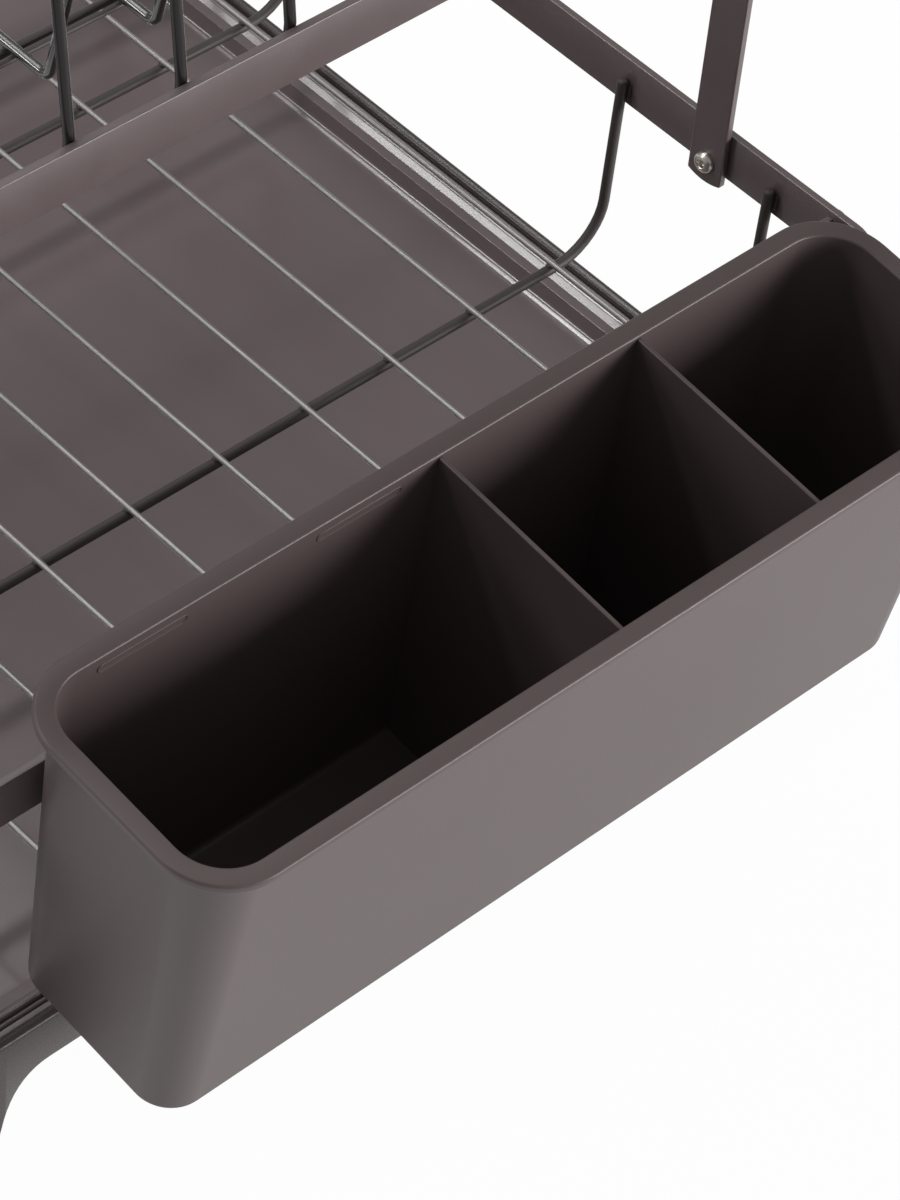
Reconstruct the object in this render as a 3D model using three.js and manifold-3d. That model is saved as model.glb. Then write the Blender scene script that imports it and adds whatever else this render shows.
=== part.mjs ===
// Two-tier dish rack: a welded wire rack with two tiers, standing on a drip tray that lies in a legged base,
// with a utensil holder hung on its front. Millimetres, +Z up, and the counter is at z = 0. While the pieces
// are made, x runs along the front from the middle and y runs back from the front face of the lower frame.
// The last lines move everything so that the origin lies below the middle of the whole object.
import * as THREE from 'three';
import { mergeVertices } from 'three/addons/utils/BufferGeometryUtils.js';
import Module from 'manifold-3d';

const wasm = await Module();
wasm.setup();

// Clearances
const touchGap = 0.3;
const cutOverrun = 10;

// Lower frame, a flat band bent into a ring
const frameWidth = 438.2;
const frameDepth = 434;
const bandHeight = 20;
const bandThickness = 3;
const lowerCornerRadius = 15;
const lowerBandTop = 190;

// Lower floor: thick rods across, thin wires from front to back
const rodDiameter = 4.2;
const wireDiameter = 2.4;
const lowerFloorDrop = 89.4;
const lowerRodDepthShares = [0.1221, 0.2972, 0.7028, 0.8779];
const rodBendRadius = 22;
const wireBendRadius = 15;
const wireCount = 10;
const wireSideGap = 30.73;
const weldLap = 12;

// Upper frame, a second band set back from the front of the lower one
const upperSetback = 63.3;
const upperBandTop = 368.8;
const upperCornerRadius = 8.5;

// Upper floor: two rods, each with a thin tie beside it, under wires whose front ends turn up as prongs.
// One wire lies behind each post of the guard.
const upperColumnCount = 10;
const upperSideGap = 20.2;
const upperFloorDrop = 41.3;
const upperWireDiameter = 3.8;
const upperRodDiameter = 3.2;
const upperRodBendRadius = 9;
const tieDiameter = 2.2;
const tieSpacing = 4.3;
const tieEndGap = 9.5;
const prongSetback = 62.9;
const prongHeight = 55;
const prongLean = THREE.MathUtils.degToRad(11);
const prongBendRadius = 4.5;
const frontRodSetback = 20.7;
const backRodSetback = 60;

// Front guard of the upper tier
const postDiameter = 3.9;
const postHeight = 79;
const postLean = THREE.MathUtils.degToRad(9.7);
const postBendRadius = 8;
const postLap = 15;
const railOverhang = 14;

// Arms that join the two frames, and their bolts
const armWidth = 16.4;
const armThickness = 3;
const armSetback = 83.7;
const armLean = THREE.MathUtils.degToRad(1.4);
const armTail = 4.8;
const armTopMargin = 2;
const armEndRadius = 20;
const boltDrop = 15.5;
const boltHeadDiameter = 8.6;
const boltHeadHeight = 2.6;
const boltShankDiameter = 4;
const boltSocketWidth = 3;
const boltSocketDepth = 1.7;
const boltHoleClearance = 0.4;

// Legs of the rack: flat bars welded inside the side bands, with a foot turned in over the tray's ridge
const legWidth = 16;
const legInset = 18;
const legFootLength = 15;
const legLap = 17;

// Drip tray
const trayRimThickness = 2;
const trayRidgeHeight = 2.6;
const trayRidgeWidth = 4.2;
const trayRidgeInset = 6.1;
const trayBeadInset = 2;
const trayBeadWidth = 2.2;
const trayBeadHeight = 1.1;
const trayPanInset = 12.5;
const trayWall = 2;
const trayPanDepth = 7.3;
const traySlack = 0.9;

// Base with its apron and four legs
const baseOverhang = 9.95;
const baseLip = 4.5;
const baseTop = 70.8;
const baseCornerRadius = 26;
const apronHeight = 22.2;
const baseLegWidth = 36;
const baseLegTaper = 8;
const archRadius = 24;
const baseLedge = 8;
const baseLedgeThickness = 3;
const soleThickness = 3;

// Utensil holder, leaning as it hangs: its underside clears the base and its back rests against the band.
// Its own axes start at the back edge of its rim.
const holderLength = 370.3;
const holderDepth = 101.1;
const holderHeight = 142.5;
const holderOffset = -3.55;
const holderClearance = 19.14;
const holderLean = THREE.MathUtils.degToRad(5.73);
const rimWidth = 7.4;
const rimHeight = 3.6;
const rimOverhang = 5.3;
const rimCornerRadius = 26;
const holderTaper = 6.4;
const holderFloor = 2.4;
const dividerThickness = 1.8;
const dividerDrop = 1.2;
const dividerLengthShares = [0.4815, 0.7265];
const hookThickness = 2.2;
const hookSideGap = 2.73;
const hookDrop = 11;

// Finishes as the photograph shows them
const coatedSteel = { color: 0x3d3533, roughness: 0.42, metalness: 0.55 };
const satinPlastic = { color: 0x5c5452, roughness: 0.5, metalness: 0.0 };
const holderPlastic = { color: 0x6a6260, roughness: 0.55, metalness: 0.0 };
const brightSteel = { color: 0xb9b4ae, roughness: 0.3, metalness: 1.0 };

const rodRadius = rodDiameter / 2;
const wireRadius = wireDiameter / 2;
const upperWireRadius = upperWireDiameter / 2;
const upperRodRadius = upperRodDiameter / 2;
const tieRadius = tieDiameter / 2;
const postRadius = postDiameter / 2;
const innerHalfWidth = frameWidth / 2 - bandThickness;
const rack = new THREE.Group();

function addPiece(parent, name, geometry, finish) {
  const mesh = new THREE.Mesh(geometry, new THREE.MeshStandardMaterial(finish));
  mesh.name = name;
  parent.add(mesh);
  return mesh;
}

// Outlines and plain extrusions

function roundedRectangle(Target, left, right, low, high, radius) {
  const outline = new Target();
  const quarter = Math.PI / 2;
  outline.moveTo(left + radius, low);
  outline.lineTo(right - radius, low);
  outline.absarc(right - radius, low + radius, radius, -quarter, 0, false);
  outline.lineTo(right, high - radius);
  outline.absarc(right - radius, high - radius, radius, 0, quarter, false);
  outline.lineTo(left + radius, high);
  outline.absarc(left + radius, high - radius, radius, quarter, Math.PI, false);
  outline.lineTo(left, low + radius);
  outline.absarc(left + radius, low + radius, radius, Math.PI, Math.PI + quarter, false);
  return outline;
}

function extrudeUp(shape, bottom, top, curveSegments) {
  const options = { depth: top - bottom, bevelEnabled: false, curveSegments };
  return new THREE.ExtrudeGeometry(shape, options).translate(0, 0, bottom);
}

function plate(halfWidth, front, back, radius, bottom, top, curveSegments) {
  const shape = roundedRectangle(THREE.Shape, -halfWidth, halfWidth, front, back, radius);
  return extrudeUp(shape, bottom, top, curveSegments);
}

// A ring whose outer edge is given, and whose inner edge lies one wall inside it
function ring(halfWidth, front, back, radius, wall, bottom, top, curveSegments) {
  const shape = roundedRectangle(THREE.Shape, -halfWidth, halfWidth, front, back, radius);
  const inside = halfWidth - wall;
  shape.holes.push(roundedRectangle(THREE.Path, -inside, inside, front + wall, back - wall, radius - wall));
  return extrudeUp(shape, bottom, top, curveSegments);
}

function box(left, right, front, back, bottom, top) {
  const geometry = new THREE.BoxGeometry(right - left, back - front, top - bottom);
  return geometry.translate((left + right) / 2, (front + back) / 2, (bottom + top) / 2);
}

// Joining and cutting

function toSolid(geometry) {
  const bare = geometry.index ? geometry.toNonIndexed() : geometry.clone();
  bare.deleteAttribute('normal');
  bare.deleteAttribute('uv');
  const merged = mergeVertices(bare);
  const vertProperties = new Float32Array(merged.attributes.position.array);
  const triVerts = new Uint32Array(merged.index.array);
  return new wasm.Manifold(new wasm.Mesh({ numProp: 3, vertProperties, triVerts }));
}

function toGeometry(solid) {
  const mesh = solid.getMesh();
  const geometry = new THREE.BufferGeometry();
  geometry.setAttribute('position', new THREE.BufferAttribute(mesh.vertProperties, mesh.numProp));
  geometry.setIndex(new THREE.BufferAttribute(mesh.triVerts, 1));
  geometry.computeVertexNormals();
  return geometry;
}

function joined(geometries) {
  return geometries.map(toSolid).reduce((whole, next) => whole.add(next));
}

function without(solid, geometries) {
  return geometries.map(toSolid).reduce((whole, next) => whole.subtract(next), solid);
}

// Bent round bars. The path goes through the given corners, each rounded by the bend radius.

class BentPath extends THREE.Curve {
  constructor(corners, bendRadius, bendSteps) {
    super();
    this.points = [corners[0]];
    for (let i = 1; i < corners.length - 1; i += 1) {
      const before = corners[i - 1].clone().sub(corners[i]).normalize();
      const after = corners[i + 1].clone().sub(corners[i]).normalize();
      const halfTurn = (Math.PI - before.angleTo(after)) / 2;
      const middle = before.clone().add(after).normalize();
      const centre = corners[i].clone().addScaledVector(middle, bendRadius / Math.cos(halfTurn));
      const inward = middle.clone().negate();
      const sideways = after.clone().sub(before).normalize();
      for (let step = 0; step <= bendSteps; step += 1) {
        const angle = halfTurn * (step / bendSteps - (bendSteps - step) / bendSteps);
        const spoke = inward.clone().multiplyScalar(Math.cos(angle)).addScaledVector(sideways, Math.sin(angle));
        this.points.push(centre.clone().addScaledVector(spoke, bendRadius));
      }
    }
    this.points.push(corners[corners.length - 1]);
    this.steps = this.points.length - 1;
  }

  getPoint(t) {
    const place = t * this.steps;
    const index = Math.min(Math.floor(place), this.steps - 1);
    return this.points[index].clone().lerp(this.points[index + 1], place - index);
  }

  getPointAt(u) {
    return this.getPoint(u);
  }

  getTangentAt(u) {
    const index = Math.round(u * this.steps);
    const before = this.points[Math.max(index - 1, 0)];
    const here = this.points[index];
    const after = this.points[Math.min(index + 1, this.steps)];
    const arriving = here.clone().sub(before).normalize();
    const leaving = after.clone().sub(here).normalize();
    return arriving.add(leaving).normalize();
  }
}

function roundSection(radius, sides) {
  const points = [];
  for (let i = 0; i < sides; i += 1) {
    const angle = (2 * Math.PI * (i + 1 / 2)) / sides;
    points.push(new THREE.Vector2(radius * Math.cos(angle), radius * Math.sin(angle)));
  }
  return new THREE.Shape(points);
}

function bentBar(corners, diameter, bendRadius, bendSteps, sides) {
  const path = new BentPath(corners, bendRadius, bendSteps);
  const options = { steps: path.steps, extrudePath: path, bevelEnabled: false };
  return new THREE.ExtrudeGeometry(roundSection(diameter / 2, sides), options);
}

// Places that several pieces share

const upperFront = upperSetback;
const upperBack = frameDepth - upperSetback;
const lowerRodHeight = lowerBandTop - lowerFloorDrop;
const lowerWireHeight = lowerRodHeight + rodRadius + touchGap + wireRadius;
const upperWireHeight = upperBandTop - upperFloorDrop;
const boltHeights = [lowerBandTop - boltDrop, upperBandTop - boltDrop];
const armRise = boltHeights[1] - boltHeights[0];
const boltSetbacks = [armSetback, armSetback + armRise * Math.tan(armLean)];
const wirePitch = (frameWidth - wireSideGap * 2) / (wireCount - 1);
const upperPitch = (frameWidth - upperSideGap * 2) / (upperColumnCount - 1);
const sides = [-1, 1];
const rodSides = 8;
const wireSides = 6;
const bendSteps = 4;

function spacedPlace(index, count, pitch) {
  return (index - (count - 1) / 2) * pitch;
}

// Bolts stand as far from the front as from the back. Level 0 is the lower frame and level 1 the upper one.
function boltPlaces(level) {
  return [boltSetbacks[level], frameDepth - boltSetbacks[level]];
}

// Bolt holes run along x through a side band

function boltHoles(side, level) {
  return boltPlaces(level).map((place) => {
    const diameter = boltShankDiameter + boltHoleClearance * 2;
    const hole = new THREE.CylinderGeometry(diameter / 2, diameter / 2, bandThickness + cutOverrun * 2, rodSides * 2);
    return hole.rotateZ(Math.PI / 2).translate(side * (frameWidth - bandThickness) / 2, place, boltHeights[level]);
  });
}

function band(front, back, top, radius, level) {
  const cornerSegments = 3;
  const blank = ring(frameWidth / 2, front, back, radius, bandThickness, top - bandHeight, top, cornerSegments);
  const holes = sides.flatMap((side) => boltHoles(side, level));
  return toGeometry(without(toSolid(blank), holes));
}

function addFrames(parent) {
  const lower = band(0, frameDepth, lowerBandTop, lowerCornerRadius, 0);
  addPiece(parent, 'lower_frame', lower, coatedSteel);
  const upper = band(upperFront, upperBack, upperBandTop, upperCornerRadius, 1);
  addPiece(parent, 'upper_frame', upper, coatedSteel);
}

// Rods hang from the side bands like wide, shallow letters U

function addRod(parent, name, diameter, place, height, weldTop, bendRadius) {
  const reach = innerHalfWidth - touchGap - diameter / 2;
  const corners = [
    new THREE.Vector3(-reach, place, weldTop),
    new THREE.Vector3(-reach, place, height),
    new THREE.Vector3(reach, place, height),
    new THREE.Vector3(reach, place, weldTop),
  ];
  addPiece(parent, name, bentBar(corners, diameter, bendRadius, bendSteps, rodSides), coatedSteel);
}

function addLowerFloor(parent) {
  const weldTop = lowerBandTop - bandHeight + weldLap;
  lowerRodDepthShares.forEach((share, index) => {
    const place = share * frameDepth;
    addRod(parent, `lower_rod_${index + 1}`, rodDiameter, place, lowerRodHeight, weldTop, rodBendRadius);
  });
  const front = bandThickness + touchGap + wireRadius;
  const back = frameDepth - front;
  for (let i = 0; i < wireCount; i += 1) {
    const x = spacedPlace(i, wireCount, wirePitch);
    const corners = [
      new THREE.Vector3(x, front, weldTop),
      new THREE.Vector3(x, front, lowerWireHeight),
      new THREE.Vector3(x, back, lowerWireHeight),
      new THREE.Vector3(x, back, weldTop),
    ];
    const wire = bentBar(corners, wireDiameter, wireBendRadius, bendSteps, wireSides);
    addPiece(parent, `lower_wire_${i + 1}`, wire, coatedSteel);
  }
}

function addUpperFloor(parent) {
  const weldTop = upperBandTop - bandHeight + weldLap;
  const prongFoot = upperFront + bandThickness + prongSetback;
  const frontRod = prongFoot + frontRodSetback;
  const backRod = upperBack - backRodSetback;
  const rodHeight = upperWireHeight - upperWireRadius - touchGap - upperRodRadius;
  const tieHeight = upperWireHeight - upperWireRadius - touchGap - tieRadius;
  const tieReach = innerHalfWidth - tieEndGap;
  const rows = [['front', frontRod, -tieSpacing], ['back', backRod, tieSpacing]];
  rows.forEach(([name, place, tieShift]) => {
    addRod(parent, `upper_rod_${name}`, upperRodDiameter, place, rodHeight, weldTop, upperRodBendRadius);
    const ends = sides.map((side) => new THREE.Vector3(side * tieReach, place + tieShift, tieHeight));
    const tie = bentBar(ends, tieDiameter, wireBendRadius, bendSteps, wireSides);
    addPiece(parent, `upper_tie_${name}`, tie, coatedSteel);
  });
  const back = upperBack - bandThickness - touchGap - upperWireRadius;
  const prongTip = prongFoot - prongHeight * Math.tan(prongLean);
  for (let i = 0; i < upperColumnCount; i += 1) {
    const x = spacedPlace(i, upperColumnCount, upperPitch);
    const corners = [
      new THREE.Vector3(x, prongTip, upperWireHeight + prongHeight),
      new THREE.Vector3(x, prongFoot, upperWireHeight),
      new THREE.Vector3(x, back, upperWireHeight),
      new THREE.Vector3(x, back, weldTop),
    ];
    const wire = bentBar(corners, upperWireDiameter, prongBendRadius, bendSteps, wireSides);
    addPiece(parent, `upper_wire_${i + 1}`, wire, coatedSteel);
  }
}

// The front guard: posts welded inside the front band lean back and carry a rail

function addGuard(parent) {
  const foot = upperFront + bandThickness + touchGap + postRadius;
  const postTop = upperBandTop + postHeight;
  const headPlace = foot + postHeight * Math.tan(postLean);
  for (let i = 0; i < upperColumnCount; i += 1) {
    const x = spacedPlace(i, upperColumnCount, upperPitch);
    const corners = [
      new THREE.Vector3(x, foot, upperBandTop - postLap),
      new THREE.Vector3(x, foot, upperBandTop),
      new THREE.Vector3(x, headPlace, postTop),
    ];
    const post = bentBar(corners, postDiameter, postBendRadius, 2, rodSides);
    addPiece(parent, `guard_post_${i + 1}`, post, coatedSteel);
  }
  const railHeight = postTop + touchGap + postRadius;
  const halfRail = spacedPlace(upperColumnCount - 1, upperColumnCount, upperPitch) + railOverhang;
  const ends = sides.map((side) => new THREE.Vector3(side * halfRail, headPlace, railHeight));
  addPiece(parent, 'guard_rail', bentBar(ends, postDiameter, postBendRadius, bendSteps, rodSides), coatedSteel);
}

// Arms, flat bars inside the side bands of both frames, each held by two bolts and leaning a little inwards

// The arm lies flat here, with its lower bolt at the origin. Both ends are cut to a shallow arc.
function armGeometry() {
  const halfWidth = armWidth / 2;
  const spread = Math.asin(halfWidth / armEndRadius);
  const quarter = Math.PI / 2;
  const lowEnd = boltDrop - bandHeight - armTail;
  const upperHole = armRise / Math.cos(armLean);
  const highEnd = upperHole + boltDrop - armTopMargin;
  const shape = new THREE.Shape();
  shape.absarc(0, lowEnd + armEndRadius, armEndRadius, -quarter - spread, -quarter + spread, false);
  shape.absarc(0, highEnd - armEndRadius, armEndRadius, quarter - spread, quarter + spread, false);
  [0, upperHole].forEach((height) => {
    const hole = new THREE.Path();
    hole.absarc(0, height, boltShankDiameter / 2 + boltHoleClearance, 0, Math.PI * 2, true);
    shape.holes.push(hole);
  });
  const options = { depth: armThickness, bevelEnabled: false, curveSegments: 4 };
  return new THREE.ExtrudeGeometry(shape, options);
}

function boltGeometry() {
  const headRadius = boltHeadDiameter / 2;
  const shankRadius = boltShankDiameter / 2;
  const shankLength = armThickness + touchGap + bandThickness;
  const domeSteps = 3;
  const profile = [new THREE.Vector2(0, -shankLength), new THREE.Vector2(shankRadius, -shankLength)];
  profile.push(new THREE.Vector2(shankRadius, touchGap), new THREE.Vector2(headRadius, touchGap));
  for (let step = 1; step <= domeSteps; step += 1) {
    const angle = (Math.PI / 2) * (step / domeSteps);
    const across = headRadius - (headRadius - shankRadius) * (1 - Math.cos(angle));
    profile.push(new THREE.Vector2(across, touchGap + boltHeadHeight * Math.sin(angle)));
  }
  profile.push(new THREE.Vector2(0, touchGap + boltHeadHeight));
  const body = new THREE.LatheGeometry(profile, rodSides * 2);
  const socketRadius = boltSocketWidth / Math.sqrt(3);
  const socket = new THREE.CylinderGeometry(socketRadius, socketRadius, boltSocketDepth * 2, wireSides);
  socket.translate(0, touchGap + boltHeadHeight, 0);
  return toGeometry(without(toSolid(body), [socket]));
}

function addArms(parent) {
  const innerFace = innerHalfWidth - touchGap - armThickness;
  const columns = [['left', -1], ['right', 1]];
  const levels = ['lower', 'upper'];
  ['front', 'back'].forEach((row, rowIndex) => {
    const lean = rowIndex ? armLean : -armLean;
    columns.forEach(([column, side]) => {
      const arm = armGeometry().rotateX(Math.PI / 2).rotateZ(Math.PI / 2).rotateX(lean);
      const x = side > 0 ? innerFace : -innerFace - armThickness;
      arm.translate(x, boltPlaces(0)[rowIndex], boltHeights[0]);
      addPiece(parent, `arm_${row}_${column}`, arm, coatedSteel);
      levels.forEach((level, levelIndex) => {
        const bolt = boltGeometry().rotateZ(side * Math.PI / 2);
        bolt.translate(side * innerFace, boltPlaces(levelIndex)[rowIndex], boltHeights[levelIndex]);
        addPiece(parent, `bolt_${level}_${row}_${column}`, bolt, brightSteel);
      });
    });
  });
}

// Legs of the rack: each is one bent strip that stands on the ridge of the tray

function addLegs(parent) {
  const footBottom = baseTop + touchGap;
  const legTop = lowerBandTop - bandHeight + legLap;
  const outer = innerHalfWidth - touchGap;
  const outline = [
    [0, footBottom],
    [0, legTop],
    [-bandThickness, legTop],
    [-bandThickness, footBottom + bandThickness],
    [-legFootLength, footBottom + bandThickness],
    [-legFootLength, footBottom],
  ];
  const rows = [['front', legInset], ['back', frameDepth - legInset - legWidth]];
  const columns = [['left', -1], ['right', 1]];
  rows.forEach(([row, place]) => {
    columns.forEach(([column, side]) => {
      const points = outline.map(([x, z]) => new THREE.Vector2(side * (outer + x), z));
      const options = { depth: legWidth, bevelEnabled: false };
      const leg = new THREE.ExtrudeGeometry(new THREE.Shape(points), options);
      leg.rotateX(Math.PI / 2).translate(0, place + legWidth, 0);
      addPiece(parent, `rack_leg_${row}_${column}`, leg, coatedSteel);
    });
  });
}

// The base: a lip, a ledge that carries the tray, and an apron arched between four corner legs

const baseHalfWidth = innerHalfWidth + baseOverhang;
const baseFront = -baseOverhang;
const baseBack = frameDepth + baseOverhang;
const trayRimTop = baseTop - trayRidgeHeight;
const ledgeTop = trayRimTop - trayRimThickness - touchGap;

// The opening under the apron, seen along y, as half widths at the apron and at the counter
function archPrism(halfSpan, length) {
  const top = baseTop - apronHeight;
  const atTop = halfSpan - baseLegWidth - baseLegTaper;
  const atCounter = halfSpan - baseLegWidth + baseLegTaper;
  const shape = new THREE.Shape();
  shape.moveTo(-atCounter, -cutOverrun);
  shape.lineTo(atCounter, -cutOverrun);
  shape.lineTo(atTop + baseLegTaper, top - archRadius);
  shape.quadraticCurveTo(atTop + baseLegTaper / 2, top, atTop - archRadius / 2, top);
  shape.lineTo(archRadius / 2 - atTop, top);
  shape.quadraticCurveTo(-atTop - baseLegTaper / 2, top, -atTop - baseLegTaper, top - archRadius);
  const options = { depth: length, bevelEnabled: false, curveSegments: 8 };
  return new THREE.ExtrudeGeometry(shape, options).translate(0, 0, -length / 2).rotateX(Math.PI / 2);
}

function addBase(parent) {
  const cornerSegments = 4;
  const middle = (baseFront + baseBack) / 2;
  const halfDepth = (baseBack - baseFront) / 2;
  const wallRing = ring(baseHalfWidth, baseFront, baseBack, baseCornerRadius, baseLip, 0, baseTop, cornerSegments);
  const inset = baseLip / 2;
  const ledge = ring(baseHalfWidth - inset, baseFront + inset, baseBack - inset, baseCornerRadius - inset,
    inset + baseLedge, ledgeTop - baseLedgeThickness, ledgeTop, cornerSegments);
  const sole = plate(baseHalfWidth - inset, baseFront + inset, baseBack - inset, baseCornerRadius - inset,
    0, soleThickness, cornerSegments);
  const acrossWidth = (baseHalfWidth + cutOverrun) * 2;
  const acrossDepth = (halfDepth + cutOverrun) * 2;
  const cuts = [
    archPrism(baseHalfWidth, acrossDepth).translate(0, middle, 0),
    archPrism(halfDepth, acrossWidth).rotateZ(Math.PI / 2).translate(0, middle, 0),
  ];
  addPiece(parent, 'base_stand', toGeometry(without(joined([wallRing, ledge, sole]), cuts)), satinPlastic);
}

// The drip tray: a flat rim with a bead and a ridge round it, and a shallow pan inside

function addTray(parent) {
  const cornerSegments = 4;
  const edge = baseLip + traySlack;
  const rimBottom = trayRimTop - trayRimThickness;
  const panFloor = trayRimTop - trayPanDepth;
  const layer = (inset, wall, bottom, top) => ring(baseHalfWidth - edge - inset, baseFront + edge + inset,
    baseBack - edge - inset, baseCornerRadius - edge - inset, wall, bottom, top, cornerSegments);
  const rim = layer(0, trayPanInset + trayWall, rimBottom, trayRimTop);
  const bead = layer(trayBeadInset, trayBeadWidth, rimBottom, trayRimTop + trayBeadHeight);
  const ridge = layer(trayRidgeInset - trayRidgeWidth / 2, trayRidgeWidth, rimBottom, baseTop);
  const panWall = layer(trayPanInset, trayWall, panFloor - trayWall, trayRimTop);
  const inset = edge + trayPanInset;
  const floor = plate(baseHalfWidth - inset, baseFront + inset, baseBack - inset, baseCornerRadius - inset,
    panFloor - trayWall, panFloor, cornerSegments);
  addPiece(parent, 'drip_tray', toGeometry(joined([rim, bead, ridge, panWall, floor])), satinPlastic);
}

// The utensil holder, made upright and then leaned. Its own y is 0 at the back edge of the rim.

// Draws a straight extrusion in towards its foot, so that each side moves by the taper
function tapered(geometry, halfWidth, halfDepth, taper) {
  const position = geometry.attributes.position;
  for (let i = 0; i < position.count; i += 1) {
    const depthShare = -position.getZ(i) / holderHeight;
    position.setX(i, position.getX(i) * (1 - (taper * depthShare) / halfWidth));
    position.setY(i, position.getY(i) * (1 - (taper * depthShare) / halfDepth));
  }
  return geometry;
}

function addHolder(parent) {
  const cornerSegments = 5;
  const halfLength = holderLength / 2;
  const halfDepth = holderDepth / 2;
  const wall = rimWidth - rimOverhang;
  const outside = [halfLength - rimOverhang, halfDepth - rimOverhang];
  const inside = [halfLength - rimWidth, halfDepth - rimWidth];
  const shellPlate = (half, radius, bottom, top) => tapered(
    plate(half[0], -half[1], half[1], radius, bottom, top, cornerSegments), half[0], half[1], holderTaper);
  const shell = shellPlate(outside, rimCornerRadius - rimOverhang, -holderHeight, 0);
  const cavity = shellPlate(inside, rimCornerRadius - rimWidth, holderFloor - holderHeight, cutOverrun);
  const rim = ring(halfLength, -halfDepth, halfDepth, rimCornerRadius, rimWidth, -rimHeight, 0, cornerSegments);
  const dividers = dividerLengthShares.map((share) => {
    const x = share * holderLength - halfLength;
    const half = dividerThickness / 2;
    return box(x - half, x + half, -halfDepth, halfDepth, -holderHeight + holderFloor / 2, -dividerDrop);
  });
  const envelope = toSolid(shellPlate(outside, rimCornerRadius - rimOverhang, -holderHeight, 0));
  const cup = joined([shell, rim]).subtract(toSolid(cavity));
  const walls = joined(dividers).intersect(envelope);
  // How high the rim's back edge stands, and how far behind the band's front face
  const leanCosine = Math.cos(holderLean);
  const leanSine = Math.sin(holderLean);
  const top = baseTop + holderClearance + holderHeight * leanCosine + (rimOverhang + holderTaper) * leanSine;
  const rise = top - lowerBandTop;
  const restDrop = (rise + bandHeight) / leanCosine;
  const restInset = rimOverhang + holderTaper * restDrop / holderHeight;
  const reach = restInset * leanCosine - restDrop * leanSine - touchGap;
  // Where the band's top lies in the holder's own axes, and how far its inner face is from the rim's back edge
  const bandLevel = -rise / leanCosine;
  const channelBack = bandThickness + touchGap - reach - rise * Math.tan(holderLean);
  const wallAtBand = halfDepth - rimOverhang + holderTaper * bandLevel / holderHeight;
  const hookWidth = wirePitch - wireDiameter - hookSideGap * 2;
  const outerHook = wirePitch * 3;
  const hookPlaces = [-outerHook, -wirePitch, wirePitch, outerHook];
  const hooks = hookPlaces.flatMap((place) => {
    const left = place - holderOffset - hookWidth / 2;
    const right = left + hookWidth;
    const tip = halfDepth + channelBack + hookThickness;
    const bridgeBottom = bandLevel + touchGap * 2;
    return [
      box(left, right, wallAtBand - wall / 2, tip, bridgeBottom, bridgeBottom + hookThickness),
      box(left, right, halfDepth + channelBack, tip, bandLevel - hookDrop, bridgeBottom + hookThickness),
    ];
  });
  const whole = cup.add(walls).add(joined(hooks));
  const holder = toGeometry(whole).translate(0, -halfDepth, 0);
  const piece = addPiece(parent, 'utensil_holder', holder, holderPlastic);
  piece.rotation.x = holderLean;
  piece.position.set(holderOffset, reach, top);
}

addBase(rack);
addTray(rack);
addFrames(rack);
addLegs(rack);
addLowerFloor(rack);
addUpperFloor(rack);
addGuard(rack);
addArms(rack);
addHolder(rack);

// The origin goes below the middle of the whole object, holder included
rack.updateMatrixWorld(true);
const extent = new THREE.Box3().setFromObject(rack, true);
rack.position.set(-(extent.min.x + extent.max.x) / 2, -(extent.min.y + extent.max.y) / 2, -extent.min.z);

export default rack;
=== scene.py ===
# %% [markdown]
# # A two-tier dish rack
# A dish rack is three trades in one object: bent and welded wire, flat steel bars, and moulded plastic.
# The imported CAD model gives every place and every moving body. Here each CAD piece gets a finer twin:
# smooth round wires instead of six-sided ones, rounded edges on the bars, rolled rims on the mouldings.
# Nearly all twins are measured from the CAD nodes' own boxes, so they sit where the solids are.

import math

import bmesh
import bpy
from mathutils import Matrix, Vector


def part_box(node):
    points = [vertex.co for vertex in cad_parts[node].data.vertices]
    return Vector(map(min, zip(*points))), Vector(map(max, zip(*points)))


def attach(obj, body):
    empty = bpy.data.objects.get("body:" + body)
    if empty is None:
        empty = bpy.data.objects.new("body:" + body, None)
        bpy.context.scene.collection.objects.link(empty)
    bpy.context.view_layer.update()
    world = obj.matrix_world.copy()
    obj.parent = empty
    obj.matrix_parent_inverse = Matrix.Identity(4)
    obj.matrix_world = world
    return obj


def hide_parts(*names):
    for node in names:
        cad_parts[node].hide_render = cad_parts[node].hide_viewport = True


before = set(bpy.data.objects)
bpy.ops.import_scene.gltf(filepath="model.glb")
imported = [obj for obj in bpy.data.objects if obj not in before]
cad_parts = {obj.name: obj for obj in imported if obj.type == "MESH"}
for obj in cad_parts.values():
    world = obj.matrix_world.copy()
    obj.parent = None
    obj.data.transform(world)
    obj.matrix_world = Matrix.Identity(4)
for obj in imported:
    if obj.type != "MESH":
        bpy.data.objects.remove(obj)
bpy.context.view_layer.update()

# %% [markdown]
# ## Measures
# All lengths are metres, and a millimetre constant keeps them readable. The front face of the lower
# frame is the plane that everything was measured from, so its place is read once and used again.

# %% Shared measures
MM = 0.001
UP = Vector((0, 0, 1))
frame_low, frame_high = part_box("lower_frame")
rack_front = frame_low.y
rack_side = frame_high.x
lower_band_top = frame_high.z
upper_band_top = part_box("upper_frame")[1].z
band_thickness = 3 * MM


def middle_of(node):
    low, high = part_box(node)
    return (low + high) / 2


print("frame", round(rack_side * 2, 4), "wide,", round(frame_high.y - rack_front, 4), "deep")

# %% [markdown]
# ## The photograph's camera
# The camera was found by fitting known straight edges of the rack to the picture. It is a long lens that
# stands high in front of the rack, on the left, and is turned a few degrees. Its place and two of its
# axes are written down as solved, and the third axis follows from those two.

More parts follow.
